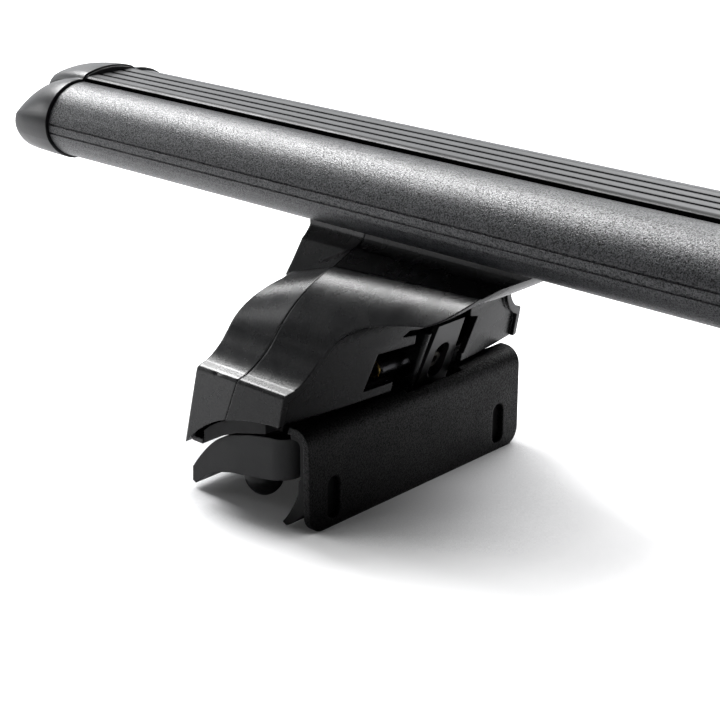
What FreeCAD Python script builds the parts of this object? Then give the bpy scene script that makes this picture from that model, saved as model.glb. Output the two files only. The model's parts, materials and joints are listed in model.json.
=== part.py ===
# Roof crossbar: hollow bar with a rubber slot strip, two end caps and two clamp feet.
# Millimetres. X runs along the bar, Y along the rails, Z up. The origin is under the middle
# of the bar, at the level of the clamp plates' lower edges.
import FreeCAD, Part
import math
import os
import Sketcher
from FreeCAD import Placement, Rotation, Vector

# Driving dimensions, all in the sheet "Size"
SIZES = {
    "bar_length": 1300.0,
    "bar_width": 80.0,
    "bar_bottom": 123.0,
    "strip_width": 34.0,
    "mouth_width": 12.0,
    "channel_width": 24.0,
    "channel_depth": 6.0,
    "foot_offset": 444.0,
    "foot_length": 160.0,
    "neck_width": 46.0,
    "shoulder_width": 77.4,
    "window_length": 76.0,
    "cap_length": 32.4,
    "plate_length": 142.5,
    "plate_height": 47.5,
    "plate_thick": 3.5,
    "plate_slot_width": 8.0,
    "plate_slot_height": 20.0,
    "pad_length": 142.0,
    "strap_width": 20.0,
    "strap_thick": 3.0,
    "barrel_diameter": 11.0,
    "barrel_length": 66.0,
    "bolt_diameter": 8.0,
}

TILT = 21.0          # lean of the tension bolt below level, degrees
PIVOT_X = -18.0      # barrel nut's axis from the clamp plate's face
PIVOT_Z = 56.0       # barrel nut's axis above the ground
GEAR_Y = 21.0        # clamp mechanism's offset along the rail
BOW_RADIUS = 400.0   # plan radius of the tower's inner face
SEAM_U = -18.2       # seam plane, measured along the bolt from the barrel nut's axis
SEAM_GAP = 0.5
RIB_FRONT = 12.0     # front of the tower's guide ribs, along the bolt

COS = math.cos(math.radians(TILT))
SIN = math.sin(math.radians(TILT))

os.makedirs("parts", exist_ok=True)
doc = FreeCAD.newDocument("Crossbar")
sheet = doc.addObject("Spreadsheet::Sheet", "Size")
for row, (alias, number) in enumerate(SIZES.items(), start=1):
    sheet.set("A%d" % row, alias)
    sheet.set("B%d" % row, str(number))
    sheet.setAlias("B%d" % row, alias)
doc.recompute()

OUTPUT = []


# Coordinates: a number, or (alias, factor, offset) for a value driven by the sheet
def value(spec):
    if isinstance(spec, tuple):
        return SIZES[spec[0]] * spec[1] + spec[2]
    return float(spec)


def formula(spec):
    if isinstance(spec, tuple):
        return "Size.%s * %.6f + %.6f" % spec
    return None


def negative(spec):
    if isinstance(spec, tuple):
        return (spec[0], -spec[1], -spec[2])
    return -spec


def shifted(spec, amount):
    if isinstance(spec, tuple):
        return (spec[0], spec[1], spec[2] + amount)
    return spec + amount


def average(a, b):
    """Midway between two coordinates, tied to the sheet where they are."""
    if isinstance(a, tuple) and isinstance(b, tuple) and a[0] == b[0]:
        return (a[0], (a[1] + b[1]) / 2, (a[2] + b[2]) / 2)
    if isinstance(a, tuple) and isinstance(b, tuple):
        return (a[0], a[1] / 2, a[2] / 2 + value(b) / 2)
    if isinstance(a, tuple):
        return (a[0], a[1] / 2, (a[2] + b) / 2)
    if isinstance(b, tuple):
        return average(b, a)
    return (a + b) / 2


def half(alias, offset=0.0):
    return (alias, 0.5, offset)


def tilted(x, z):
    """Foot coordinates (x, z) turned into the bolt's own frame (u, w)."""
    return ((x - PIVOT_X) * COS - (z - PIVOT_Z) * SIN,
            (x - PIVOT_X) * SIN + (z - PIVOT_Z) * COS)


def bind(item, path, spec):
    """Sets a property of item and ties it to the sheet when spec names an alias."""
    if formula(spec):
        item.setExpression(path, formula(spec))


# Sketches
def new_sketch(body, name, plane, offset=0.0):
    sketch = body.newObject("Sketcher::SketchObject", name)
    origin = [f for f in body.Origin.OriginFeatures if f.Role == plane][0]
    sketch.AttachmentSupport = [(origin, "")]
    sketch.MapMode = "FlatFace"
    sketch.AttachmentOffset = Placement(Vector(0, 0, value(offset)), Rotation())
    bind(sketch, "AttachmentOffset.Base.z", offset)
    return sketch


def hold(sketch, axis, geometry, point, spec):
    """Holds one coordinate of a point, measured from the sketch's origin."""
    number = value(spec)
    kind = "Distance" + axis
    index = sketch.addConstraint(Sketcher.Constraint(kind, -1, 1, geometry, point, number))
    if formula(spec):
        sketch.setExpression("Constraints[%d]" % index, formula(spec))


def hold_centre(sketch, geometry, corner, after):
    """Holds an arc's centre along the axis that its bisector follows more closely."""
    centre = sketch.Geometry[geometry].Center
    across = abs(value(after[0]) - value(corner[0])) < abs(value(after[1]) - value(corner[1]))
    place, axis = (0, "X") if across else (1, "Y")
    middle = average(corner[place], after[place])
    actual = centre.x if across else centre.y
    hold(sketch, axis, geometry, 3, shifted(middle, actual - value(middle)))


def draw_loop(sketch, corners):
    """Closed outline; a corner is (x, y) or (x, y, bulge of the edge that follows it)."""
    count = len(corners)
    first = sketch.GeometryCount
    for i, corner in enumerate(corners):
        after = corners[(i + 1) % count]
        a = Vector(value(corner[0]), value(corner[1]), 0)
        b = Vector(value(after[0]), value(after[1]), 0)
        bulge = corner[2] if len(corner) > 2 else 0.0
        if bulge:
            middle = (a + b) * 0.5 + Vector(b.y - a.y, a.x - b.x, 0) * (0.5 * bulge)
            sketch.addGeometry(Part.Arc(a, middle, b), False)
        else:
            sketch.addGeometry(Part.LineSegment(a, b), False)
    for i, corner in enumerate(corners):
        after = corners[(i + 1) % count]
        bulge = corner[2] if len(corner) > 2 else 0.0
        following = first + (i + 1) % count
        next_bulge = after[2] if len(after) > 2 else 0.0
        end = 1 if bulge < 0 else 2
        start = 2 if next_bulge < 0 else 1
        sketch.addConstraint(Sketcher.Constraint("Coincident", first + i, end, following, start))
    for i, corner in enumerate(corners):
        bulge = corner[2] if len(corner) > 2 else 0.0
        start = 2 if bulge < 0 else 1
        hold(sketch, "X", first + i, start, corner[0])
        hold(sketch, "Y", first + i, start, corner[1])
        if bulge:
            hold_centre(sketch, first + i, corner, corners[(i + 1) % count])


def draw_circle(sketch, x, y, radius):
    index = sketch.addGeometry(Part.Circle(Vector(value(x), value(y), 0), Vector(0, 0, 1), value(radius)), False)
    hold(sketch, "X", index, 3, x)
    hold(sketch, "Y", index, 3, y)
    mark = sketch.addConstraint(Sketcher.Constraint("Radius", index, value(radius)))
    if formula(radius):
        sketch.setExpression("Constraints[%d]" % mark, formula(radius))


def mirrored(right):
    """Whole outline from its right half, listed from the bottom up."""
    left = []
    for i in range(len(right) - 1, -1, -1):
        x, y = right[i][0], right[i][1]
        bulge = right[i - 1][2] if i > 0 and len(right[i - 1]) > 2 else 0.0
        left.append((negative(x), y, bulge))
    return list(right) + left


# Features
def new_body(name):
    body = doc.addObject("PartDesign::Body", name)
    body.Label = name
    return body


def extrude(body, kind, sketch, length, symmetric=False, backward=False):
    feature = body.newObject("PartDesign::" + kind, sketch.Name + "_" + kind)
    feature.Profile = sketch
    feature.SideType = "Symmetric" if symmetric else "One side"
    feature.Length = value(length)
    bind(feature, "Length", length)
    feature.Reversed = backward
    return feature


def prism(body, name, plane, loops, length, offset=0.0, symmetric=False, backward=False, kind="Pad"):
    sketch = new_sketch(body, name, plane, offset)
    for loop in loops:
        draw_loop(sketch, loop)
    return extrude(body, kind, sketch, length, symmetric, backward)


def through(body, name, plane, loops, length=400.0):
    """Cuts the outlines symmetrically through the body."""
    return prism(body, name, plane, loops, length, symmetric=True, kind="Pocket")


def holes(body, name, plane, circles, length, offset=0.0, symmetric=False, backward=False, kind="Pocket"):
    sketch = new_sketch(body, name, plane, offset)
    for x, y, radius in circles:
        draw_circle(sketch, x, y, radius)
    return extrude(body, kind, sketch, length, symmetric, backward)


def bowed_cut(body, name, loop):
    """Groove about a distant upright axis, which leaves a face that is bowed in plan."""
    sketch = new_sketch(body, name, "XZ_Plane")
    draw_loop(sketch, loop)
    line = Part.LineSegment(Vector(-BOW_RADIUS, 0, 0), Vector(-BOW_RADIUS, 200, 0))
    index = sketch.addGeometry(line, True)
    for point, y in ((1, 0.0), (2, 200.0)):
        hold(sketch, "X", index, point, -BOW_RADIUS)
        hold(sketch, "Y", index, point, y)
    groove = body.newObject("PartDesign::Groove", name + "_Groove")
    groove.Profile = sketch
    groove.ReferenceAxis = (sketch, ["Axis0"])
    groove.Angle = 36.0
    groove.Midplane = True
    return groove


def loft(body, name, stations, kind, ruled=True):
    """Loft between outlines on planes across X."""
    sketches = []
    for i, (offset, loop) in enumerate(stations):
        sketch = new_sketch(body, "%s_%d" % (name, i), "YZ_Plane", offset)
        draw_loop(sketch, loop)
        sketches.append(sketch)
    feature = body.newObject("PartDesign::" + kind, name + "_Loft")
    feature.Profile = sketches[0]
    feature.Sections = sketches[1:]
    feature.Ruled = ruled
    return feature


def box_loop(x0, x1, y0, y1):
    return [(x0, y0), (x1, y0), (x1, y1), (x0, y1)]


def slot_loop(x, y, width, height):
    """Obround about (x, y) that stands along the sketch's second axis."""
    reach = (height - width) / 2
    right, left = shifted(x, width / 2), shifted(x, -width / 2)
    return [(right, y - reach), (right, y + reach, 1.0), (left, y + reach), (left, y - reach, 1.0)]


def hexagon_loop(x, y, across):
    radius = across / math.sqrt(3)
    angles = [math.radians(60 * i) for i in range(6)]
    return [(x + radius * math.cos(a), y + radius * math.sin(a)) for a in angles]


def combine(kind, name, base, tool):
    result = doc.addObject("Part::" + kind, name)
    result.Base = base
    result.Tool = tool
    result.Label = name
    return result


def keep(item, label):
    item.Label = label
    OUTPUT.append(item)


def keep_pair(item, name, place):
    """Keeps a part at the left end and its twin, turned half a turn, at the right end."""
    keep(item, name + "_left")
    place(item, -1)
    twin = new_body(name + "_right")
    twin.BaseFeature = item
    keep(twin, name + "_right")
    place(twin, 1)


# Placements: side -1 is the left end, +1 the right one, turned half a turn about the upright axis
def place_at_end(item, side):
    item.Placement = Placement(Vector(0, 0, 0), Rotation(Vector(0, 0, 1), 180.0 if side < 0 else 0.0))


def place_upright(item, side):
    turn = 0.0 if side < 0 else 180.0
    item.Placement = Placement(Vector(side * SIZES["foot_offset"], 0, 0), Rotation(Vector(0, 0, 1), turn))
    item.setExpression("Placement.Base.x", "Size.foot_offset * %d" % side)


def place_tilted(item, side):
    turn = Rotation(Vector(0, 0, 1), 0.0 if side < 0 else 180.0)
    spot = turn.multVec(Vector(PIVOT_X, GEAR_Y, PIVOT_Z)) + Vector(side * SIZES["foot_offset"], 0, 0)
    item.Placement = Placement(spot, turn.multiply(Rotation(Vector(0, 1, 0), TILT)))
    item.setExpression("Placement.Base.x", "Size.foot_offset * %d + %.6f" % (side, -side * PIVOT_X))


# Bar section: right half of the outline, from the bottom up
BASE = ("bar_bottom", 1.0, 0.0)


def above_base(amount):
    return ("bar_bottom", 1.0, amount)


def bar_outline(grow):
    """Outer outline of the section, grown outward by the given amount."""
    return mirrored([
        (24.0 + 0.1 * grow, above_base(-grow), 0.238),
        (half("bar_width", -1.3 + 0.95 * grow), above_base(10.8 - 0.4 * grow), 0.2063),
        (half("bar_width", -1.3 + 0.95 * grow), above_base(23.4 + 0.4 * grow), 0.322),
        (half("strip_width", 0.2 * grow), above_base(36.0 + grow)),
    ])


def side_chambers(inset):
    """Outlines of the two hollow sides of the section, set in from the bar's own walls."""
    right = [
        (half("channel_width", 2.2 + inset), above_base(2.4 + inset)),
        (23.4, above_base(2.4 + inset), 0.235),
        (half("bar_width", -3.6 - inset), above_base(11.9), 0.20),
        (half("bar_width", -3.6 - inset), above_base(22.4), 0.31),
        (half("strip_width", 2.6 - 0.3 * inset), above_base(33.2 - 1.1 * inset)),
        (half("channel_width", 2.2 + inset), above_base(31.0 - inset)),
    ]
    left = [(negative(c[0]), c[1], -c[2] if len(c) > 2 else 0.0) for c in right]
    return right, left


def t_slot(low, lip, sign):
    """T-slot entered from low; lip is its lips' thickness, sign the way it opens into the bar."""
    mouth = half("mouth_width")
    channel = half("channel_width")
    inner = low + sign * lip
    deep = inner + sign * SIZES["channel_depth"]
    right = [(mouth, above_base(low - sign * 4.0)), (mouth, above_base(inner)),
             (channel, above_base(inner)), (channel, above_base(deep))]
    return mirrored(right)


def make_bar():
    body = new_body("crossbar_extrusion")
    outline = bar_outline(0.0)
    prism(body, "BarOutline", "YZ_Plane", [outline], ("bar_length", 1.0, 0.0), symmetric=True)
    reach = ("bar_length", 1.0, 10.0)
    strip_seat = mirrored([(half("strip_width", 0.1), above_base(33.4)), (half("strip_width", 0.1), above_base(40))])
    through(body, "StripSeat", "YZ_Plane", [strip_seat], reach)
    through(body, "TopSlot", "YZ_Plane", [t_slot(33.4, 2.4, -1)], reach)
    through(body, "LowerSlot", "YZ_Plane", [t_slot(0.0, 2.4, 1)], reach)
    middle = mirrored([(half("channel_width", -0.2), above_base(10.6)), (half("channel_width", -0.2), above_base(22.8))])
    through(body, "MiddleChamber", "YZ_Plane", [middle], reach)
    for name, loop in zip(("RightChamber", "LeftChamber"), side_chambers(0.0)):
        through(body, name, "YZ_Plane", [loop], reach)
    depth = half("bar_width", -0.9)
    outer = half("bar_width", 1.0)
    grooves = []
    for level in (14.3, 18.7):
        groove = [(depth, above_base(level - 0.25)), (outer, above_base(level - 1.1)),
                  (outer, above_base(level + 1.1)), (depth, above_base(level + 0.25))]
        grooves += [groove, [(negative(y), z) for y, z in groove]]
    through(body, "PinstripeGrooves", "YZ_Plane", grooves, reach)
    keep(body, "crossbar_extrusion")


def make_strip():
    body = new_body("slot_strip")
    lip = half("mouth_width", -0.3)
    barb = half("mouth_width", 0.7)
    edge = half("strip_width", -0.1)
    section = mirrored([
        (lip, above_base(29.0)),
        (barb, above_base(30.4)),
        (lip, above_base(30.9)),
        (lip, above_base(33.4)),
        (edge, above_base(33.4)),
        (edge, above_base(35.2), 0.31),
        (half("strip_width", -4.0), above_base(38.2)),
    ])
    prism(body, "StripSection", "YZ_Plane", [section], ("bar_length", 1.0, 0.0), symmetric=True)
    reach = ("bar_length", 1.0, 10.0)
    grooves = [box_loop(y - 0.9, y + 0.9, above_base(37.0), above_base(39.0)) for y in (-7.0, 0.0, 7.0)]
    through(body, "StripGrooves", "YZ_Plane", grooves, reach)
    core = box_loop(-3.6, 3.6, above_base(20.0), above_base(32.6))
    through(body, "StripCore", "YZ_Plane", [core], reach)
    keep(body, "slot_strip")


def cap_body(fall):
    """Section of the end cap, from the rim (fall 0) to its end face (fall 1), where its top slopes down."""
    side = half("bar_width", -0.1 - 5.0 * fall)
    return mirrored([
        (24.1 - 1.5 * fall, above_base(-1.2), 0.238),
        (side, above_base(10.3), 0.2063),
        (side, above_base(23.9 - 7.2 * fall), 0.322 - 0.17 * fall),
        (half("strip_width", 0.2 - 0.9 * fall), above_base(37.2 - 18.0 * fall)),
    ])


def cap_hood(fall, grow=0.0):
    """Domed hood of the end cap over the end of the strip."""
    side = 0.6 + grow - 4.0 * fall
    return mirrored([
        (half("strip_width", side), above_base(22.0 - 4.0 * fall)),
        (half("strip_width", side), above_base(36.0 - 7.9 * fall), 0.219),
        (half("strip_width", side - 4.6), above_base(39.8 + grow - 7.9 * fall), 0.131),
    ])


def cap_stations(section):
    """Sections of the end cap along a quarter of a superellipse."""
    stations = []
    for share in (0.0, 0.3, 0.52, 0.7, 0.84, 0.94, 1.0):
        fall = 1.0 - (1.0 - share ** 1.9) ** (1.0 / 1.9)
        place = ("bar_length", 0.5, CAP_RIM + share * (SIZES["cap_length"] - CAP_RIM))
        stations.append((place, section(fall)))
    return stations


CAP_RIM = 1.0        # width of the shadow groove between the bar's end and the cap's rim


def make_caps():
    body = new_body("end_cap_left")
    loft(body, "CapBody", cap_stations(cap_body), "AdditiveLoft", ruled=False)
    loft(body, "CapHood", cap_stations(cap_hood), "AdditiveLoft", ruled=False)
    bar_end = ("bar_length", 0.5, 0.1)
    land = [bar_outline(-0.8)]
    prism(body, "Land", "YZ_Plane", land, CAP_RIM + 2.0, offset=bar_end)
    prism(body, "HoodLand", "YZ_Plane", [cap_hood(0.0, -0.8)], CAP_RIM + 2.0, offset=bar_end)
    tongue = mirrored([(15.6, above_base(-2.4)), (17.0, above_base(-1.4)), (17.0, above_base(-0.1))])
    prism(body, "Tongue", "YZ_Plane", [tongue], 12.0, offset=("bar_length", 0.5, 2.0), backward=True)
    prism(body, "Plugs", "YZ_Plane", side_chambers(0.25), 20.0, offset=("bar_length", 0.5, 2.0), backward=True)
    hollow_end = ("bar_length", 0.5, 20.0)
    prism(body, "PlugBores", "YZ_Plane", side_chambers(2.4), 40.0, offset=hollow_end, kind="Pocket")
    middle = box_loop(half("channel_width", -0.3), ("channel_width", -0.5, 0.3), above_base(11.0), above_base(22.4))
    prism(body, "MiddleHollow", "YZ_Plane", [middle], 40.0, offset=hollow_end, kind="Pocket")
    keep_pair(body, "end_cap", place_at_end)


# Foot frame: X = 0 at the clamp plate's inner-side face, growing towards the vehicle's middle
def upright(u, w):
    """Point (u, w) of the bolt's frame in foot coordinates (x, z)."""
    return (PIVOT_X + u * COS + w * SIN, PIVOT_Z - u * SIN + w * COS)


def tower_outline(inset, lift=0.0):
    """Foot seen along the bar: upright nose, ogee flank, shoulder crease and neck."""
    i = inset
    crease = -13.4 + lift
    return mirrored([
        (half("foot_length", 0.6 - i), 20.0),
        (half("foot_length", -0.4 - i), 63.2 - 0.7 * i, 0.35),
        (half("foot_length", -2.2 - 0.9 * i), 65.6 - i),
        (half("foot_length", -5.5 - 0.6 * i), 66.6 - i, -0.19),
        (half("foot_length", -16.8 - 0.95 * i), 81.0 - 0.35 * i, 0.244),
        (half("shoulder_width", -0.5 * i), above_base(crease - 0.9 * i)),
        (half("shoulder_width", -1.4 - 0.5 * i), above_base(crease - 0.3 - 0.9 * i)),
        (half("neck_width", 4.7 - 0.5 * i), above_base(-7.0 - i), -0.25),
        (half("neck_width", -i), above_base(-3.2 - i)),
        (half("neck_width", -i), above_base(-0.1 - i)),
    ])


def inner_curve(depth):
    """Tower's inner side in XZ, from the bottom up to the bar; depth is measured into the foot."""
    d = depth
    return [
        (-3.6 - d, 20.0),
        (-1.2 - d, 50.0),
        (3.5 - d, 74.0 + 0.3 * d, -0.30),
        (28.7 - 0.3 * d, 97.5 + d, -0.03),
        (51.0 - 0.4 * d, 102.0 + d, 0.17),
        (66.6 - 0.8 * d, above_base(-7.3 + 0.8 * d)),
        (81.0 - 2.6 * d, above_base(0.3)),
        (81.0 - 2.6 * d, above_base(20.0)),
    ]


ARCH = [(-12.0, 50.2, 0.06), (-41.3, 44.8, 0.14), (-67.8, 27.0)]


def beyond_curve(depth):
    return inner_curve(depth) + [(150.0, above_base(20.0)), (150.0, 20.0)]


def within_curve(depth):
    return inner_curve(depth) + [(-90.0, above_base(20.0)), (-90.0, 20.0)]


def outside_seam(u):
    low, high = upright(u, -70.0), upright(u, 110.0)
    return [low, high, (-140.0, high[1]), (-140.0, low[1])]


def below_arch(lift):
    arch = [(x[0], x[1] + lift) + tuple(x[2:]) for x in ARCH]
    return [(150.0, -10.0), (150.0, 50.2 + lift)] + arch + [(-120.0, 27.0 + lift), (-120.0, -10.0)]


def tower_block(body, inset):
    """Block between two outlines, with the shoulder crease rising towards the vehicle's middle."""
    stations = [(x, tower_outline(inset, 0.048 * (x + 30.0))) for x in (-45.0, 100.0)]
    loft(body, "Outline", stations, "AdditiveLoft")


def tower_shell(name):
    body = new_body(name + "_outer")
    tower_block(body, 0.0)
    bowed_cut(body, "InnerSide", beyond_curve(0.0))
    through(body, "SeamSide", "XZ_Plane", [outside_seam(SEAM_U)])
    through(body, "Arch", "XZ_Plane", [below_arch(0.0)])
    return body


def tower_recess(name):
    """Shallow recess of the inner panel behind the rim."""
    body = new_body(name + "_recess")
    tower_block(body, 3.0)
    bowed_cut(body, "PanelFront", within_curve(2.0))
    return body


def tower_chamber(name):
    """Hollow of the tower between its inner panel and the bulkhead beside the seam."""
    body = new_body(name + "_chamber")
    tower_block(body, 3.0)
    bowed_cut(body, "PanelBack", beyond_curve(5.0))
    through(body, "Bulkhead", "XZ_Plane", [outside_seam(SEAM_U + 3.0)])
    return body


def tower_window(name):
    """Opening of the inner panel with its latch tab, open downward in front of the strap."""
    body = new_body(name + "_window")
    left = ("window_length", -0.5, 4.4)
    right = ("window_length", 0.5, 3.0)
    strap_side = ("strap_width", 0.5, GEAR_Y + 2.0)
    outline = [(left, 54.6), (-15.8, 54.6), (-15.8, 40.0), (strap_side, 40.0), (strap_side, 54.4),
               (shifted(strap_side, 1.4), 54.4), (right, 71.0), (shifted(strap_side, 1.4), 73.0), (strap_side, 81.0),
               (8.0, 81.0), (8.0, 76.4), (-3.0, 77.0), (-10.4, 78.2),
               (-14.5, 76.0), (-5.0, 74.6), (-5.0, 70.3), (shifted(left, 5.4), 71.4)]
    prism(body, "Window", "YZ_Plane", [outline], 26.0, offset=-13.0)
    return body


def tower_ribs(name):
    """Two guide ribs of the barrel nut; the near one ends in a rounded column."""
    body = new_body(name + "_ribs")
    back = [(-18.0, 22.0), (-18.0, -15.0), (0.0, -5.9), (6.5, -8.5)]
    near = back + [(7.5, -11.5), (RIB_FRONT, -11.5), (RIB_FRONT, 22.0)]
    far = back + [(8.0, 22.0)]
    prism(body, "NearRib", "XZ_Plane", [[upright(u, w) for u, w in near]], 4.0, offset=-(GEAR_Y - 14.0))
    doc.recompute()

    def front(edge):
        ends = [tilted(v.X, v.Z) for v in edge.Vertexes]
        return all(abs(u - RIB_FRONT) < 0.01 for u, w in ends) and abs(ends[0][1] - ends[-1][1]) > 20.0

    round_corners(body, front, 1.6, "FrontRadius")
    prism(body, "FarRib", "XZ_Plane", [[upright(u, w) for u, w in far]], 4.0, offset=-(GEAR_Y + 33.0))
    return body


def barrel_slots(name):
    """Room for the barrel nut's travel, in the two ribs and in the back of the inner panel."""
    body = new_body(name + "_slots")
    reach = SIZES["barrel_diameter"] / 2 + 0.2
    slot = [upright(-2.6, -reach), upright(4.4, -reach) + (1.0,), upright(4.4, reach), upright(-2.6, reach) + (1.0,)]
    prism(body, "Slots", "XZ_Plane", [slot], 63.0, offset=-(GEAR_Y + 35.0))
    return body


def cylinder(name, radius, height, point, tilt_angle):
    """Cylinder whose axis starts at point and leans in the XZ plane; angle 0 stands it upright."""
    item = doc.addObject("Part::Cylinder", name)
    item.Radius = value(radius)
    bind(item, "Radius", radius)
    item.Height = height
    item.Placement = Placement(Vector(*point), Rotation(Vector(0, 1, 0), tilt_angle))
    return item


def along_bolt(u, w=0.0, y=GEAR_Y):
    x, z = upright(u, w)
    return (x, y, z)


def block(name, corner, size):
    item = doc.addObject("Part::Box", name)
    item.Length, item.Width, item.Height = [value(v) for v in size]
    for path, spec in zip(("Length", "Width", "Height"), size):
        bind(item, path, spec)
    item.Placement.Base = Vector(*[value(v) for v in corner])
    for path, spec in zip(("x", "y", "z"), corner):
        bind(item, "Placement.Base." + path, spec)
    return item


def make_tower():
    name = "tower_body"
    shell = tower_shell(name)
    hollow = combine("Cut", name + "_a", shell, tower_recess(name))
    hollow = combine("Cut", name + "_b", hollow, tower_chamber(name))
    boss = cylinder(name + "_boss", 10.0, 7.2, along_bolt(-22.2), 90.0 + TILT)
    solid = combine("Fuse", name + "_c", hollow, boss)
    bore = cylinder(name + "_bore", ("bolt_diameter", 0.5, 0.08), 14.0, along_bolt(-26.0), 90.0 + TILT)
    solid = combine("Cut", name + "_d", solid, bore)
    solid = combine("Cut", name + "_e", solid, tower_window(name))
    solid = combine("Fuse", name + "_g", solid, tower_ribs(name))
    solid = combine("Cut", name + "_h", solid, barrel_slots(name))
    key = block(name + "_key", (-6.0, ("mouth_width", -0.5, 0.2), above_base(-1.0)),
                (50.0, ("mouth_width", 1.0, -0.4), 3.1))
    screws = holes_only(name + "_screws", [(0.0, 0.0, 4.3), (36.0, 0.0, 4.3)])
    solid = combine("Fuse", name + "_f", solid, key)
    solid = combine("Cut", name + "_left", solid, screws)
    keep_pair(solid, name, place_upright)


def holes_only(name, circles):
    body = new_body(name)
    holes(body, "Circles", "XY_Plane", circles, 20.0, offset=above_base(-13.0), kind="Pad")
    return body


# Cover, in the bolt's frame: sections across the bolt between the seam and the outer face
COVER_END = -44.2


def cover_outline(u, i):
    """Section of the cover at u, set in by i."""
    near = SEAM_U - SEAM_GAP
    k = (u - near) / (COVER_END - near)

    def level(z, drop):
        return (z - PIVOT_Z) / COS + near * SIN / COS - drop * k

    neck = SIZES["bar_bottom"]
    return mirrored([
        (half("foot_length", 0.6 - i), -60.0),
        (half("foot_length", -0.4 - i), level(63.2, 9.8) - 0.7 * i, 0.35),
        (half("foot_length", -2.2 - 0.9 * i), level(65.6, 9.8) - i),
        (half("foot_length", -5.5 - 0.6 * i), level(66.6, 9.8) - i, -0.19),
        (half("foot_length", -16.8 - 0.95 * i), level(81.0, 9.8) - 0.35 * i, 0.244),
        (half("shoulder_width", -0.5 * i), level(neck - 13.4, 19.2) - 0.9 * i),
        (half("shoulder_width", -1.4 - 0.5 * i), level(neck - 13.7, 19.4) - 0.9 * i),
        (half("neck_width", 4.7 - 0.5 * i), level(neck - 7.0, 21.0) - i, -0.25),
        (half("neck_width", -i), level(neck - 3.2, 23.0) - i),
        (half("neck_width", -i), level(neck - 0.3, 25.0) - i),
    ])


def turned(loop):
    """Foot outline in XZ, corner by corner, turned into the bolt's frame."""
    return [tilted(c[0], c[1]) + tuple(c[2:]) for c in loop]


def cover_solid(name, inset, near, far):
    """Loft between two sections of the cover, rounded off towards the outer face."""
    body = new_body(name)
    loft(body, "Sections", [(near, cover_outline(near, inset)), (far, cover_outline(far, inset))], "AdditiveLoft")
    i = inset
    outside = [(-35.5 + i, -50.0), (-43.8 + i, 6.0), (-44.1 + i, 14.0, -0.15), (-38.0 + 0.7 * i, 33.5 - i),
               (-38.0 + 0.7 * i, 95.0), (-90.0, 95.0), (-90.0, -80.0), (-35.5 + i, -80.0)]
    through(body, "OuterFace", "XZ_Plane", [outside])
    return body


def make_cover():
    name = "outer_cover"
    near = SEAM_U - SEAM_GAP
    body = cover_solid(name + "_outside", 0.0, near, COVER_END)
    through(body, "Arch", "XZ_Plane", [turned(below_arch(0.3))])
    inside = cover_solid(name + "_inside", 2.6, near + 1.0, COVER_END)
    shell = combine("Cut", name + "_shell", body, inside)
    shell.Placement = Placement(Vector(PIVOT_X, 0, PIVOT_Z), Rotation(Vector(0, 1, 0), TILT))
    neck = new_body(name + "_neck")
    section = mirrored([
        (half("neck_width", 14.0), above_base(-26.0)),
        (half("neck_width", 15.4), above_base(-22.4)),
        (half("neck_width", 11.5), above_base(-17.5)),
        (half("neck_width", 5.0), above_base(-8.4), -0.10),
        (half("neck_width"), above_base(-3.2)),
        (half("neck_width"), above_base(-0.3)),
    ])
    prism(neck, "NeckSection", "YZ_Plane", [section], 42.0, offset=-45.5)
    low, high = upright(near, -70.0), upright(near, 110.0)
    through(neck, "SeamSide", "XZ_Plane", [[low, (90.0, low[1]), (90.0, high[1]), high]])
    hollow = box_loop(-42.5, 10.0, ("neck_width", -0.5, 3.0), ("neck_width", 0.5, -3.0))
    prism(neck, "NeckHollow", "XY_Plane", [hollow], 40.0, offset=above_base(-3.5), kind="Pocket")
    solid = combine("Fuse", name + "_a", shell, neck)
    lip = block(name + "_lip", (-67.0, ("foot_length", -0.5, 3.0), 27.4), (6.6, ("foot_length", 1.0, -6.0), 2.4))
    solid = combine("Fuse", name + "_left", solid, lip)
    keep_pair(solid, name, place_upright)


SOLE_UNDER = [(-57.5, 29.2), (-47.0, 35.4), (-36.0, 40.0), (-18.5, 44.6)]


def make_sole():
    body = new_body("base_sole_left")
    band = [(-18.5, 49.0, 0.06), (-41.3, 44.5, 0.10), (-57.5, 35.1)] + SOLE_UNDER
    prism(body, "Band", "XZ_Plane", [band], ("foot_length", 1.0, -3.0), symmetric=True)
    notch = box_loop(-32.0, -10.0, ("strap_width", -0.5, GEAR_Y - 9.0), ("strap_width", 0.5, GEAR_Y + 5.0))
    through(body, "StrapNotch", "XY_Plane", [notch])
    keep_pair(body, "base_sole", place_upright)


PAD_TOP = [(-13.0, 38.0), (-14.5, 39.5), (-24.0, 39.0), (-36.0, 36.7), (-48.0, 33.3, 0.10), (-62.0, 24.6, 0.05),
           (-74.2, 10.4)]
PAD_UNDER = [(-74.5, 3.6), (-72.6, 2.6), (-66.0, 8.4, -0.08), (-48.3, 15.0), (-29.0, 18.0), (-14.0, 20.8), (-13.0, 22.0)]


STUD_X = -41.0


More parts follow.
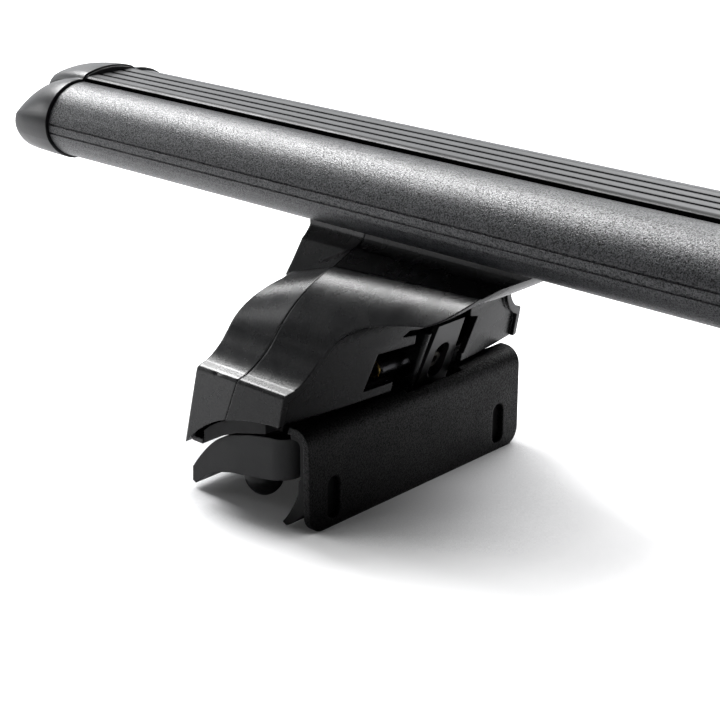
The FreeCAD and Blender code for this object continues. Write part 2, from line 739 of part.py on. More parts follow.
def make_pad():
    body = new_body("rail_pad_left")
    prism(body, "Saddle", "XZ_Plane", [PAD_TOP + PAD_UNDER], ("pad_length", 1.0, 0.0), symmetric=True)
    shelf = [(x, z - 0.1) for x, z in SOLE_UNDER[2:0:-1]]
    seat = [(-24.0, 36.0), (-24.0, 43.0)] + shelf + [(-55.0, 30.5), (-55.0, 26.0)]
    prism(body, "Seat", "XZ_Plane", [seat], ("pad_length", 1.0, -16.0), symmetric=True)
    notch = box_loop(-22.0, -5.0, ("strap_width", -0.5, GEAR_Y - 9.0), ("strap_width", 0.5, GEAR_Y + 5.0))
    prism(body, "StrapNotch", "XY_Plane", [notch], 20.0, offset=31.0, kind="Pocket", backward=True)
    doc.recompute()
    round_corners(body, lambda e: upright_edge(e, -13.0), 10.0, "Corners")
    spots = [(STUD_X, y) for y in (("pad_length", -0.5, 13.0), ("pad_length", 0.5, -13.0))]
    holes(body, "StudSeats", "XY_Plane", [(x, y, 9.5) for x, y in spots], 30.0, offset=20.0)
    holes(body, "StudBores", "XY_Plane", [(x, y, 4.2) for x, y in spots], 30.0, offset=32.0)
    keep_pair(body, "rail_pad", place_upright)


def upright_edge(edge, x):
    points = [v.Point for v in edge.Vertexes]
    if len(points) != 2:
        return False
    level = abs(points[0].x - x) < 0.01 and abs(points[1].x - x) < 0.01
    return level and abs(points[0].z - points[1].z) > 5.0 and abs(abs(points[0].y) - SIZES["pad_length"] / 2) < 0.01


def round_corners(body, wanted, size, name, kind="Fillet"):
    """Fillets, or chamfers, the tip's edges that the test picks."""
    base = body.Tip
    edges = ["Edge%d" % i for i, e in enumerate(base.Shape.Edges, start=1) if wanted(e)]
    feature = body.newObject("PartDesign::" + kind, name)
    feature.Base = (base, edges)
    if kind == "Fillet":
        feature.Radius = size
    else:
        feature.Size = size
    body.Tip = feature


def make_studs():
    """Two domed studs under the pad, each turned about its own upright axis."""
    body = new_body("locating_studs_left")
    for label, y in (("NearStud", ("pad_length", -0.5, 13.0)), ("FarStud", ("pad_length", 0.5, -13.0))):
        sketch = new_sketch(body, label, "XZ_Plane", negative(y))
        section = [(0.0, 3.2), (2.6, 3.2), (4.4, 4.2, 0.2), (9.2, 12.0), (9.2, 20.0), (4.1, 20.0), (4.1, 31.8),
                   (0.0, 31.8)]
        draw_loop(sketch, [(STUD_X + c[0],) + c[1:] for c in section])
        line = Part.LineSegment(Vector(STUD_X, 0, 0), Vector(STUD_X, 40.0, 0))
        index = sketch.addGeometry(line, True)
        for point, level in ((1, 0.0), (2, 40.0)):
            hold(sketch, "X", index, point, STUD_X)
            hold(sketch, "Y", index, point, level)
        turn = body.newObject("PartDesign::Revolution", label + "_Turn")
        turn.Profile = sketch
        turn.ReferenceAxis = (sketch, ["Axis0"])
        turn.Angle = 360.0
    keep_pair(body, "locating_studs", place_upright)


def make_clamp_plate():
    body = new_body("clamp_plate_left")
    thick = ("plate_thick", -1.0, 0.0)
    top = ("plate_height", 1.0, 0.0)
    under = shifted(top, -SIZES["plate_thick"])
    section = [(0.0, 0.0), (0.0, shifted(top, -8.0), 0.41421), (-8.0, top), (-11.4, top),
               (-12.74, under), (-8.0, under, -0.41421), (thick, shifted(top, -8.0)), (thick, 0.0)]
    prism(body, "Fold", "XZ_Plane", [section], ("plate_length", 1.0, 0.0), symmetric=True)
    wide, tall = SIZES["plate_slot_width"], SIZES["plate_slot_height"]
    slots = [slot_loop(("plate_length", 0.5 * sy, -15.0 * sy), 13.5, wide, tall) for sy in (-1, 1)]
    prism(body, "Slots", "YZ_Plane", slots, 12.0, offset=1.0, kind="Pocket")
    doc.recompute()

    def lower_corner(edge):
        points = [v.Point for v in edge.Vertexes]
        return len(points) == 2 and all(abs(q.z) < 0.01 for q in points) and abs(points[0].y - points[1].y) < 0.01

    round_corners(body, lower_corner, 8.0, "LowerCorners")
    notch = box_loop(-20.0, thick, GEAR_Y - 26.0, ("strap_width", 0.5, GEAR_Y + 2.0))
    prism(body, "StrapNotch", "XY_Plane", [notch], 40.0, offset=shifted(top, 10.0), kind="Pocket")
    keep_pair(body, "clamp_plate", place_upright)


def make_liner():
    body = new_body("jaw_liner_left")
    top = ("plate_height", 1.0, -3.5)
    bend = ("plate_height", 1.0, -8.0)
    section = [(-3.5, 9.0), (-3.5, bend, 0.41421), (-8.0, top), (-11.0, top), (-11.0, shifted(top, -2.0)),
               (-8.0, shifted(top, -2.0), -0.41421), (-5.5, bend), (-5.5, 25.0), (-6.6, 24.0),
               (-7.2, 17.6, -0.06), (-10.9, 10.0, -0.06), (-16.8, 1.6), (-14.6, 0.4, 0.08), (-8.6, 4.4)]
    prism(body, "Hook", "XZ_Plane", [section], ("plate_length", 1.0, -0.6), symmetric=True)
    notch = box_loop(-20.0, 0.0, GEAR_Y - 26.0, ("strap_width", 0.5, GEAR_Y + 2.0))
    prism(body, "StrapNotch", "XY_Plane", [notch], 30.0, offset=("plate_height", 1.0, 15.9), kind="Pocket")
    keep_pair(body, "jaw_liner", place_upright)


def make_strap():
    """Folded strap: slotted web, two ears that hold the barrel nut, and a foot behind the clamp plate."""
    body = new_body("tension_strap_left")
    face = 10.6
    back = face - SIZES["strap_thick"]
    edge = ("strap_width", 0.5, 0.6)
    web = mirrored([(edge, -17.6), (edge, -6.0), (shifted(edge, -1.6), 23.0)])
    prism(body, "Web", "YZ_Plane", [web], ("strap_thick", 1.0, 0.0), offset=face, backward=True)
    ear = [(back + 0.5, -7.5), (back + 0.5, 8.0), (-1.0, 8.0, 0.42), (-8.2, 0.0, 0.40), (-1.0, -7.5)]
    prism(body, "Ears", "XZ_Plane", [ear], ("strap_width", 1.0, 0.0), symmetric=True)
    gap = box_loop(-12.0, back, ("strap_width", -0.5, 2.6), ("strap_width", 0.5, -2.6))
    through(body, "EarGap", "XY_Plane", [gap])
    corner, behind = upright(face, -16.4), upright(back, -17.6)
    foot = [behind, (behind[0] + 3.0, corner[1] - 3.2), (-SIZES["plate_thick"], corner[1] - 3.2),
            (-SIZES["plate_thick"], corner[1]), corner]
    prism(body, "Foot", "XZ_Plane", [turned(foot)], ("strap_width", 1.0, 1.2), symmetric=True)
    radius = ("barrel_diameter", 0.5, 0.06)
    holes(body, "EarHoles", "XZ_Plane", [(0.0, 0.0, radius)], 80.0, symmetric=True)
    sketch = new_sketch(body, "WebSlot", "YZ_Plane", 20.0)
    draw_loop(sketch, [(5.0, -3.2), (5.0, 6.2, 1.0), (-5.0, 6.2), (-5.0, -3.2, 1.0)])
    extrude(body, "Pocket", sketch, 16.0)
    keep_pair(body, "tension_strap", place_tilted)


def make_barrel():
    body = new_body("barrel_nut_left")
    holes(body, "Rod", "XZ_Plane", [(0.0, 0.0, half("barrel_diameter"))], ("barrel_length", 1.0, 0.0),
          symmetric=True, kind="Pad")
    for label, sign in (("NearEnd", -1), ("FarEnd", 1)):
        end = ("barrel_length", 0.5 * sign, 0.0)
        holes(body, label, "XZ_Plane", [(0.0, 0.0, 2.6)], 4.0, offset=negative(end), backward=sign > 0)
    holes(body, "Thread", "YZ_Plane", [(0.0, 0.0, ("bolt_diameter", 0.5, 0.08))], 30.0, symmetric=True)
    doc.recompute()

    def rim(edge):
        at_end = all(abs(abs(v.Y) - SIZES["barrel_length"] / 2) < 0.01 for v in edge.Vertexes)
        return at_end and edge.Curve.TypeId == "Part::GeomCircle" and edge.Curve.Radius > 4.0

    round_corners(body, rim, 0.8, "EndChamfers", "Chamfer")
    keep_pair(body, "barrel_nut", place_tilted)


def make_bolt():
    body = new_body("tension_bolt_left")
    head = -23.8
    holes(body, "Shank", "YZ_Plane", [(0.0, 0.0, half("bolt_diameter"))], 32.0, offset=head, kind="Pad")
    holes(body, "Head", "YZ_Plane", [(0.0, 0.0, ("bolt_diameter", 0.8125, 0.0))], 8.0, offset=head, kind="Pad",
          backward=True)
    sketch = new_sketch(body, "Socket", "YZ_Plane", head - 8.0)
    draw_loop(sketch, hexagon_loop(0.0, 0.0, 6.0))
    extrude(body, "Pocket", sketch, 4.5, backward=True)
    sketch = new_sketch(body, "EndSocket", "YZ_Plane", head + 32.0)
    draw_loop(sketch, hexagon_loop(0.0, 0.0, 4.0))
    extrude(body, "Pocket", sketch, 3.0)
    keep_pair(body, "tension_bolt", place_tilted)


def make_washer():
    body = new_body("bolt_washer_left")
    holes(body, "Disc", "YZ_Plane", [(0.0, 0.0, ("bolt_diameter", 1.0, 0.5)), (0.0, 0.0, ("bolt_diameter", 0.5, 0.2))],
          1.6, offset=-23.8, kind="Pad")
    keep_pair(body, "bolt_washer", place_tilted)


def make_slot_plate():
    """Slide nut in the bar's lower channel."""
    body = new_body("slot_plate_left")
    loop = box_loop(-14.0, 50.0, ("channel_width", -0.5, 0.4), ("channel_width", 0.5, -0.4))
    prism(body, "Plate", "XY_Plane", [loop], ("channel_depth", 1.0, -0.6), offset=above_base(2.5))
    holes(body, "Threads", "XY_Plane", [(0.0, 0.0, 4.0), (36.0, 0.0, 4.0)], 20.0, offset=above_base(12.0))
    keep_pair(body, "slot_plate", place_upright)


def make_slot_screws():
    body = new_body("slot_screws_left")
    spots = ((0.0, 0.0), (36.0, 0.0))
    under = above_base(-3.1)
    holes(body, "Heads", "XY_Plane", [(x, y, 6.5) for x, y in spots], 6.0, offset=under, kind="Pad", backward=True)
    holes(body, "Shanks", "XY_Plane", [(x, y, 4.0) for x, y in spots], 11.0, offset=under, kind="Pad")
    for i, (x, y) in enumerate(spots):
        sketch = new_sketch(body, "Socket%d" % i, "XY_Plane", above_base(-9.1))
        draw_loop(sketch, hexagon_loop(x, y, 6.0))
        extrude(body, "Pocket", sketch, 3.5, backward=True)
    keep_pair(body, "slot_screws", place_upright)


def main():
    make_bar()
    make_strip()
    make_caps()
    make_tower()
    make_cover()
    make_sole()
    make_pad()
    make_studs()
    make_clamp_plate()
    make_liner()
    make_strap()
    make_barrel()
    make_bolt()
    make_washer()
    make_slot_plate()
    make_slot_screws()
    doc.recompute()
    for item in doc.Objects:
        if "Invalid" in item.State or "Error" in item.State:
            raise RuntimeError("%s can't be computed" % item.Name)
    for item in OUTPUT:
        shape = item.Shape
        if shape.isNull() or not shape.isValid() or not shape.Solids:
            raise RuntimeError("%s has no valid shape" % item.Label)
    for item in OUTPUT:
        item.Shape.exportStep(os.path.join("parts", item.Label + ".step"))


main()
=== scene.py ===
import json
import math

import bpy
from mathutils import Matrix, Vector


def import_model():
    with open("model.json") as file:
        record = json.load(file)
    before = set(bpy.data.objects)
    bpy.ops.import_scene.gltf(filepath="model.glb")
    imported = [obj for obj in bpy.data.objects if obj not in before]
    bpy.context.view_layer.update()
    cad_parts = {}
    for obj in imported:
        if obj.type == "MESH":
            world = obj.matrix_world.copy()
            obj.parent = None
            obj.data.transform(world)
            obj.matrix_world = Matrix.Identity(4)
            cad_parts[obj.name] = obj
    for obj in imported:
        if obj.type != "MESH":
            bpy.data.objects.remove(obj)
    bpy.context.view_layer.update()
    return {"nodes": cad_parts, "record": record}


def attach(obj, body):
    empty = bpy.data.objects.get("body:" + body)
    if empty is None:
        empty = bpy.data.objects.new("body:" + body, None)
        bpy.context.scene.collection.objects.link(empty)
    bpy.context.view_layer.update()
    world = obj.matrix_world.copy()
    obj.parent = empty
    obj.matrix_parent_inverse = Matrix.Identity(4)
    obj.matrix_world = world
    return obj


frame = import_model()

NODES = frame["nodes"]
SIDES = ("left", "right")
MM = 0.001

# Foot frame, in millimetres from the clamp plate's face and the foot's middle
FOOT_OFFSET = 444.0                 # from the bar's middle to the clamp plate's face
TILT = math.radians(21.0)           # lean of the tension bolt
PIVOT = (-18.0, 21.0, 56.0)         # barrel nut's middle

# Barrel nut's bushings, as (radius, distance past the nut's end)
NUT_END = 33.0
BUSHING = [(2.65, -3.6), (2.65, 0.25), (2.9, 0.45), (4.35, 0.45), (4.6, 0.25), (4.6, 0.02),
           (2.72, -0.1), (2.72, -3.6)]
BUSHING_STEPS = 48

# Bolt's thread, along the bolt from the barrel nut's axis
THREAD_PITCH = 1.25
THREAD_CREST = 3.98
THREAD_ROOT = 3.42
THREAD_SPAN = (-14.0, 7.9)
THREAD_STEPS = 40                   # a turn
THREAD_PROFILE = ((THREAD_ROOT, -0.5), (THREAD_CREST, -0.08), (THREAD_CREST, 0.08), (THREAD_ROOT, 0.5))
THREAD_SUNK = 0.05                  # into the shank where the thread fades out

# Jaw liner's webs behind the clamp plate's upright slots
PLATE_LENGTH = 142.5
SLOT_Y = 0.5 * PLATE_LENGTH - 15.0
WEB_HALF = 9.0
WEB_X = (-4.6, -3.55)
WEB_Z = (1.2, 9.3)

# Rubber strip's ribs, in metres
RIB_PITCH = 0.007
GROOVE_SHADE = (0.0009, 0.0022)     # from a groove's middle, where its painted shade fades out
# strength of the painted shade in the strip's grooves
GROOVE_SHADE_DEPTH = 0.8
STRIP_GAP = (0.0143, 0.0154)        # from the bar's middle plane, where the joint's painted shade fades in

# Finishes
# colour of the painted shade in the strip's grooves and joint
SHADE_BLACK = (0.001, 0.001, 0.001)
EDGE_SAMPLES = 6
EDGE_RANGE = (0.86, 0.995)          # agreement of true and softened normal, from an edge paled as wear and painted highlight to whole
# patches along the edges, which are paled partly as wear and partly as a painted highlight
WEAR_AND_HIGHLIGHT_SCALE = 160.0
PALE_GAIN = 2.5
PALE_LIFT = 0.02
BUMP_HEIGHT = 0.0004

# Floor, world and camera
FLOOR_REACH = 8.0
FLOOR_COLOUR = (0.62, 0.62, 0.63, 1.0)
SKY_REACH = 0.14
SKY_RANGE = (0.50, 0.88)            # share of open sky over the floor between which its lift fades in
FLOOR_LIFT = (0.03, 0.85)
BACK = (-0.90, 0.43, 0.0)
BACK_RANGE = (0.2, 1.0)
BACK_GLOW = 1.35
FRONT_GLOW = 0.04
HIGH_RANGE = (0.30, 0.80)           # heights between which the room falls off
HIGH_GLOW = 0.30
WORLD_COLOUR = (0.96, 0.98, 1.0, 1.0)
FOOT = (-0.44, 0.0, 0.08)           # what the lamps aim at
EYE = (0.0475, -0.5686, 0.345)
LOOK_DOWN = 20.7                    # degrees
LOOK_LEFT = 42.9                    # degrees
LENS = 90.45


def foot_point(side, x, y, z):
    """Foot coordinates in millimetres turned into the row frame in metres."""
    turn = 1.0 if side == "left" else -1.0
    return Vector(((x - FOOT_OFFSET) * turn * MM, y * turn * MM, z * MM))


def bolt_point(side, u, v, w):
    """Point of the bolt's frame: u along the bolt, v along the rail, w across both."""
    x = PIVOT[0] + u * math.cos(TILT) + w * math.sin(TILT)
    z = PIVOT[2] - u * math.sin(TILT) + w * math.cos(TILT)
    return foot_point(side, x, PIVOT[1] + v, z)


# Material nodes
def node(tree, kind, **inputs):
    """New shader node; keyword names are its inputs, with _ for a space."""
    made = tree.nodes.new(kind)
    for name, value in inputs.items():
        made.inputs[name.replace("_", " ")].default_value = value
    return made


def worked(tree, kind, operation, *values):
    """Math node of the kind and operation, each value a socket, a number or a vector."""
    made = tree.nodes.new(kind)
    made.operation = operation
    for index, value in enumerate(values):
        if isinstance(value, bpy.types.NodeSocket):
            tree.links.new(value, made.inputs[index])
        else:
            made.inputs[index].default_value = value
    return made


def number(tree, operation, *values):
    return worked(tree, "ShaderNodeMath", operation, *values).outputs["Value"]


def dot(tree, first, second):
    return worked(tree, "ShaderNodeVectorMath", "DOT_PRODUCT", first, second).outputs["Value"]


def place(tree, output="Object"):
    return tree.nodes.new("ShaderNodeTexCoord").outputs[output]


def part_of(tree, vector, axis):
    made = tree.nodes.new("ShaderNodeSeparateXYZ")
    tree.links.new(vector, made.inputs["Vector"])
    return made.outputs[axis]


def noise(tree, scale, detail, stretch=(1.0, 1.0, 1.0)):
    """Noise in object coordinates, in cells per metre."""
    mapping = node(tree, "ShaderNodeMapping", Scale=stretch)
    made = node(tree, "ShaderNodeTexNoise", Scale=scale, Detail=detail, Roughness=0.55)
    tree.links.new(place(tree), mapping.inputs["Vector"])
    tree.links.new(mapping.outputs["Vector"], made.inputs["Vector"])
    return made.outputs["Fac"]


def spread(tree, source, low, high, from_low=0.3, from_high=0.7):
    """Source between two levels turned into low to high."""
    made = node(tree, "ShaderNodeMapRange", From_Min=from_low, From_Max=from_high, To_Min=low, To_Max=high)
    tree.links.new(source, made.inputs["Value"])
    return made.outputs["Result"]


def scaled(tree, colour, factor):
    """Colour times a factor that varies over the surface."""
    made = tree.nodes.new("ShaderNodeVectorMath")
    made.operation = "SCALE"
    made.inputs[0].default_value = colour
    tree.links.new(factor, made.inputs["Scale"])
    return made.outputs["Vector"]


def blended(tree, factor, first, second):
    """First colour to second by the factor; each is a socket or a colour."""
    made = tree.nodes.new("ShaderNodeMix")
    made.data_type = "RGBA"
    tree.links.new(factor, made.inputs["Factor"])
    for value, index in ((first, 6), (second, 7)):
        if isinstance(value, tuple):
            made.inputs[index].default_value = value + (1.0,)
        else:
            tree.links.new(value, made.inputs[index])
    return made.outputs[2]


def edges(tree, radius):
    """Mask of the edges, and the normal softened over them."""
    soft = node(tree, "ShaderNodeBevel", Radius=radius)
    soft.samples = EDGE_SAMPLES
    flat = tree.nodes.new("ShaderNodeNewGeometry")
    agree = dot(tree, soft.outputs["Normal"], flat.outputs["Normal"])
    return spread(tree, agree, 1.0, 0.0, *EDGE_RANGE), soft.outputs["Normal"]


def painted_rib_shade(tree, gloss, tint, gap, specular):
    """Painted shade: fades colour and gloss to black in the strip's grooves and in the gap beside the
    strip.
    """
    side = number(tree, "ABSOLUTE", part_of(tree, place(tree), "Y"))
    ribs = number(tree, "PINGPONG", side, 0.5 * RIB_PITCH)
    joint = spread(tree, side, 0.0, 1.0, *gap)
    grooves = spread(tree, ribs, GROOVE_SHADE_DEPTH, 0.0, *GROOVE_SHADE)
    dark = number(tree, "MAXIMUM", joint, grooves)
    tree.links.new(spread(tree, dark, specular, 0.0, 0.0, 1.0), gloss)
    return blended(tree, dark, tint, SHADE_BLACK)


def surface(name, colour, rough, metal=0.0, grain=(1400.0, 0.12), cloud=(28.0, 0.10), speckle=0.0,
            wear_and_highlight=0.25, edge=0.0006, rough_spread=0.06, brushed=(1.0, 1.0, 1.0), specular=0.5, gap=None):
    """Procedural finish: grain, cloudy colour, speckle, edges paled as wear and as a painted highlight,
    uneven gloss, and painted shade in the strip's grooves and joint.
    """
    made = bpy.data.materials.new(name)
    made.use_nodes = True
    tree = made.node_tree
    sockets = tree.nodes["Principled BSDF"].inputs
    sockets["Metallic"].default_value = metal
    sockets["Specular IOR Level"].default_value = specular
    shade = spread(tree, noise(tree, cloud[0], 4.0), 1.0 - cloud[1], 1.0 + cloud[1])
    if speckle:
        flakes = noise(tree, grain[0] * 0.8, 2.0)
        low, high = 1.0 - speckle, 1.0 + speckle
        shine = spread(tree, flakes, specular * low, specular * high, 0.35, 0.65)
        tree.links.new(shine, sockets["Specular IOR Level"])
        shade = number(tree, "MULTIPLY", shade, spread(tree, flakes, low, high, 0.35, 0.65))
    mask, normal = edges(tree, edge)
    patches = spread(tree, noise(tree, WEAR_AND_HIGHLIGHT_SCALE, 4.0), wear_and_highlight * 0.5, wear_and_highlight, 0.35, 0.6)
    worn_and_highlit = number(tree, "MULTIPLY", mask, patches)
    # edge colour paled partly as wear and partly as a painted highlight
    pale = tuple(min(1.0, part * PALE_GAIN + PALE_LIFT) for part in colour)
    tint = blended(tree, worn_and_highlit, scaled(tree, colour, shade), pale)
    # painted shade in the strip's grooves and in the joint beside it
    if gap:
        tint = painted_rib_shade(tree, sockets["Specular IOR Level"], tint, gap, specular)
    tree.links.new(tint, sockets["Base Color"])
    gloss = spread(tree, noise(tree, cloud[0] * 2.3, 4.0), rough - rough_spread, rough + rough_spread)
    tree.links.new(gloss, sockets["Roughness"])
    bump = node(tree, "ShaderNodeBump", Strength=grain[1], Distance=BUMP_HEIGHT)
    tree.links.new(noise(tree, grain[0], 3.0, brushed), bump.inputs["Height"])
    tree.links.new(normal, bump.inputs["Normal"])
    tree.links.new(bump.outputs["Normal"], sockets["Normal"])
    return made


# Finish of each material slot
# The edge paling set for each finish is partly wear and partly a painted highlight.
FINISHES = {
    "bar_metal": surface("bar_coat", (0.020, 0.021, 0.024), 0.32, metal=0.10, grain=(1900.0, 0.6),
                         speckle=0.75, wear_and_highlight=0.5, edge=0.0004, specular=0.85, rough_spread=0.03),
    "strip_rubber": surface("strip_rubber", (0.036, 0.036, 0.038), 0.38, grain=(900.0, 0.12),
                            brushed=(0.08, 1.0, 1.0), wear_and_highlight=0.10, specular=0.85, gap=STRIP_GAP),
    "cap_plastic": surface("cap_plastic", (0.012, 0.012, 0.0135), 0.36, grain=(1800.0, 0.10), wear_and_highlight=0.10),
    "screw_steel": surface("black_zinc", (0.03, 0.03, 0.032), 0.35, metal=0.9, wear_and_highlight=0.5, edge=0.0003),
    "tower_plastic": surface("tower_plastic", (0.005, 0.005, 0.0056), 0.27, grain=(1500.0, 0.12),
                             wear_and_highlight=0.06, speckle=0.12, specular=0.34, edge=0.0010),
    "cover_plastic": surface("cover_plastic", (0.006, 0.006, 0.0067), 0.27, grain=(1500.0, 0.12),
                             wear_and_highlight=0.06, speckle=0.12, specular=0.58, edge=0.0012),
    "sole_plastic": surface("sole_plastic", (0.010, 0.010, 0.0105), 0.50, wear_and_highlight=0.06, specular=0.2),
    "pad_rubber": surface("pad_rubber", (0.026, 0.026, 0.027), 0.55, grain=(1100.0, 0.2), wear_and_highlight=0.08,
                          edge=0.0010, specular=0.35),
    "stud_plastic": surface("stud_plastic", (0.005, 0.005, 0.0055), 0.30, wear_and_highlight=0.05, specular=0.3),
    "plate_metal": surface("plate_coat", (0.004, 0.004, 0.0045), 0.42, grain=(1500.0, 0.9),
                           speckle=0.55, wear_and_highlight=0.08, edge=0.0012, specular=0.20),
    "liner_rubber": surface("liner_rubber", (0.007, 0.007, 0.0073), 0.60, wear_and_highlight=0.06, specular=0.25),
    "strap_steel": surface("strap_coat", (0.016, 0.016, 0.0165), 0.32, grain=(1500.0, 0.10),
                           wear_and_highlight=0.6, edge=0.0004, specular=0.6),
    "barrel_steel": surface("oiled_steel", (0.045, 0.045, 0.048), 0.26, metal=0.95, grain=(900.0, 0.10),
                            brushed=(1.0, 0.06, 1.0), wear_and_highlight=0.3, edge=0.0004),
    "bolt_steel": surface("bolt_zinc", (0.12, 0.115, 0.10), 0.32, metal=0.95, wear_and_highlight=0.5, edge=0.0003),
    "washer_steel": surface("washer_zinc", (0.25, 0.25, 0.24), 0.34, metal=0.95, wear_and_highlight=0.4, edge=0.0003),
    "slot_steel": surface("slot_zinc", (0.25, 0.25, 0.24), 0.36, metal=0.95, wear_and_highlight=0.4, edge=0.0004),
}


def dress_nodes():
    """Gives each node of the frame the finish of its slot in the record."""
    slots = {row["node"]: row["material_slot"] for row in frame["record"]["subparts"]}
    for name, item in NODES.items():
        finish = FINISHES[slots[name]]
        if not item.material_slots:
            item.data.materials.append(finish)
        for slot in item.material_slots:
            slot.material = finish


# Added pieces
def mesh_piece(name, points, faces, body, finish, smooth=True):
    """Mesh that rides a body and wears a finish."""
    mesh = bpy.data.meshes.new(name)
    mesh.from_pydata(points, [], faces)
    mesh.update()
    item = bpy.data.objects.new(name, mesh)
    bpy.context.scene.collection.objects.link(item)
    mesh.materials.append(finish)
    if smooth:
        mesh.polygons.foreach_set("use_smooth", [True] * len(mesh.polygons))
    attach(item, body)


def ring_faces(count, rows):
    """Faces of a ring of count sections, each a closed loop of rows points."""
    faces = []
    for i in range(count):
        for j in range(rows):
            after, beside = ((i + 1) % count) * rows, (j + 1) % rows
            faces.append((i * rows + j, i * rows + beside, after + beside, after + j))
    return faces


def bushing_points(side, sign):
    """Points of the bushing in one end of a barrel nut, which is turned about the nut's axis."""
    points = []
    for i in range(BUSHING_STEPS):
        angle = 2.0 * math.pi * i / BUSHING_STEPS
        for radius, past in BUSHING:
            along = sign * (NUT_END + past)
            points.append(bolt_point(side, radius * math.cos(angle), along, radius * math.sin(angle)))
    return points


def add_bushings():
    """Plated bushings in the two ends of each barrel nut."""
    finish = surface("yellow_zinc", (0.62, 0.42, 0.13), 0.28, metal=0.95, wear_and_highlight=0.4, edge=0.0003)
    faces = ring_faces(BUSHING_STEPS, len(BUSHING))
    for side in SIDES:
        for end, sign in (("near", -1.0), ("far", 1.0)):
            name = "barrel_bushing_%s_%s" % (end, side)
            mesh_piece(name, bushing_points(side, sign), faces, "nut_" + side, finish)


def thread_points(side, steps):
    """Points of a bolt's thread: the profile swept along a helix, shallow at both ends."""
    points = []
    for i in range(steps + 1):
        turns = i / THREAD_STEPS
        angle = 2.0 * math.pi * i / THREAD_STEPS
        along = THREAD_SPAN[0] + THREAD_PITCH * turns
        fade = min(1.0, (steps - i) / THREAD_STEPS, turns)
        for radius, shift in THREAD_PROFILE:
            r = THREAD_ROOT - THREAD_SUNK + (radius - THREAD_ROOT + THREAD_SUNK) * fade
            u = along + shift * THREAD_PITCH
            points.append(bolt_point(side, u, r * math.cos(angle), r * math.sin(angle)))
    return points


def add_bolt_threads():
    """Helical thread on each tension bolt's shank."""
    steps = int((THREAD_SPAN[1] - THREAD_SPAN[0]) / THREAD_PITCH * THREAD_STEPS)
    rows = len(THREAD_PROFILE)
    faces = []
    for i in range(steps):
        for j in range(rows - 1):
            a = i * rows + j
            faces.append((a, a + 1, a + rows + 1, a + rows))
    finish = FINISHES["bolt_steel"]
    for side in SIDES:
        name = "bolt_thread_" + side
        mesh_piece(name, thread_points(side, steps), faces, "bolt_" + side, finish)


def add_liner_webs():
    """Lower webs of the jaw liners, which close the view through the plate's upright slots."""
    faces = [(0, 1, 3, 2), (4, 6, 7, 5), (0, 4, 5, 1), (2, 3, 7, 6), (0, 2, 6, 4), (1, 5, 7, 3)]
    finish = FINISHES["liner_rubber"]
    for side in SIDES:
        for end, middle in (("near", -SLOT_Y), ("far", SLOT_Y)):
            width = (middle - WEB_HALF, middle + WEB_HALF)
            points = [foot_point(side, x, y, z) for x in WEB_X for y in width for z in WEB_Z]
            name = "liner_web_%s_%s" % (end, side)
            mesh_piece(name, points, faces, "jaw_" + side, finish, smooth=False)


# Stage, lights and camera
def floor_finish():
    """Pale floor, lifted to white for the camera wherever no piece stands close above it."""
    finish = bpy.data.materials.new("floor")
    finish.use_nodes = True
    tree = finish.node_tree
    sockets = tree.nodes["Principled BSDF"].inputs
    sockets["Base Color"].default_value = FLOOR_COLOUR
    sockets["Roughness"].default_value = 0.75
    sockets["Specular IOR Level"].default_value = 0.2
    sockets["Emission Color"].default_value = (1.0, 1.0, 1.0, 1.0)
    open_sky = node(tree, "ShaderNodeAmbientOcclusion", Distance=SKY_REACH)
    open_sky.samples = 8
    lift = spread(tree, open_sky.outputs["AO"], *FLOOR_LIFT, *SKY_RANGE)
    rays = tree.nodes.new("ShaderNodeLightPath")
    seen = number(tree, "MULTIPLY", rays.outputs["Is Camera Ray"], lift)
    tree.links.new(seen, sockets["Emission Strength"])
    return finish


def stage():
    mesh = bpy.data.meshes.new("floor")
    corners = [(sx * FLOOR_REACH, sy * FLOOR_REACH, 0) for sx, sy in ((-1, -1), (1, -1), (1, 1), (-1, 1))]
    mesh.from_pydata(corners, [], [(0, 1, 2, 3)])
    floor = bpy.data.objects.new("floor", mesh)
    bpy.context.scene.collection.objects.link(floor)
    mesh.materials.append(floor_finish())


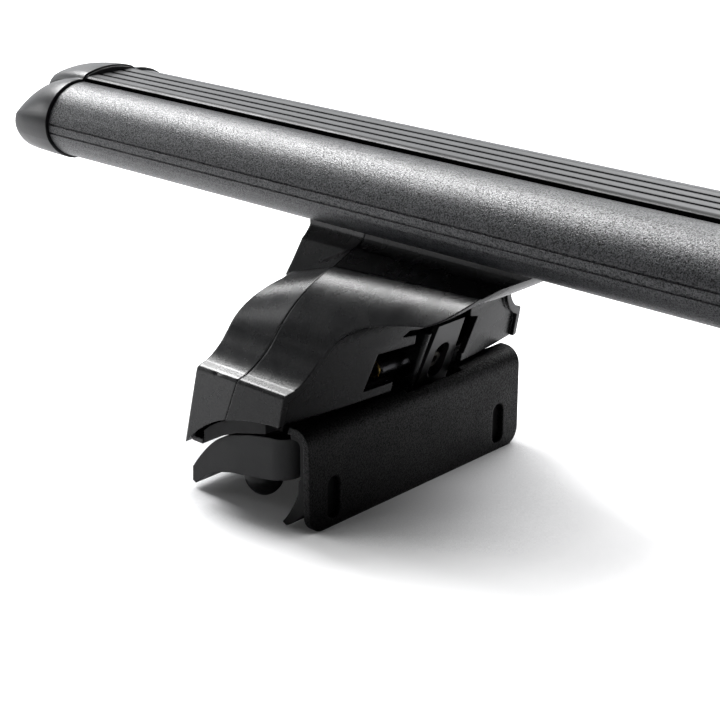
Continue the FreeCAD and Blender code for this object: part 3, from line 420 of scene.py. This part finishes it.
def world():
    """White to the camera; to other rays a bright backdrop low behind the bar and a dark room elsewhere."""
    made = bpy.data.worlds.new("studio")
    bpy.context.scene.world = made
    made.use_nodes = True
    tree = made.node_tree
    sockets = tree.nodes["Background"].inputs
    sockets["Color"].default_value = WORLD_COLOUR
    direction = place(tree, "Generated")
    low = spread(tree, part_of(tree, direction, "Z"), 1.0, HIGH_GLOW, *HIGH_RANGE)
    glow = spread(tree, dot(tree, direction, BACK), FRONT_GLOW, BACK_GLOW, *BACK_RANGE)
    room = number(tree, "MULTIPLY", low, glow)
    rays = tree.nodes.new("ShaderNodeLightPath")
    seen = node(tree, "ShaderNodeMapRange", To_Max=1.0)
    tree.links.new(rays.outputs["Is Camera Ray"], seen.inputs["Value"])
    tree.links.new(room, seen.inputs["To Min"])
    tree.links.new(seen.outputs["Result"], sockets["Strength"])


def lamp(name, where, size, power):
    """Rectangular lamp that aims at the foot."""
    data = bpy.data.lights.new(name, "AREA")
    data.shape = "RECTANGLE"
    data.size, data.size_y = size
    data.energy = power
    item = bpy.data.objects.new(name, data)
    item.location = where
    item.rotation_euler = (Vector(FOOT) - Vector(where)).to_track_quat("-Z", "Y").to_euler()
    bpy.context.scene.collection.objects.link(item)


def lights():
    lamp("key", (-1.70, 0.20, 1.6), (0.7, 1.2), 60.0)
    lamp("back_box", (-0.62, 1.15, 1.35), (1.0, 0.8), 24.0)
    lamp("left_box", (-1.9, -0.65, 0.55), (0.6, 0.4), 2.5)


def camera():
    data = bpy.data.cameras.new("camera")
    data.lens = LENS
    data.sensor_width = 36.0
    data.clip_start = 0.01
    data.clip_end = 50.0
    item = bpy.data.objects.new("camera", data)
    item.location = EYE
    item.rotation_euler = (math.radians(90.0 - LOOK_DOWN), 0.0, math.radians(LOOK_LEFT))
    bpy.context.scene.collection.objects.link(item)
    bpy.context.scene.camera = item


def main():
    bpy.context.scene.view_settings.view_transform = "Standard"
    dress_nodes()
    add_bushings()
    add_bolt_threads()
    add_liner_webs()
    stage()
    world()
    lights()
    camera()


main()
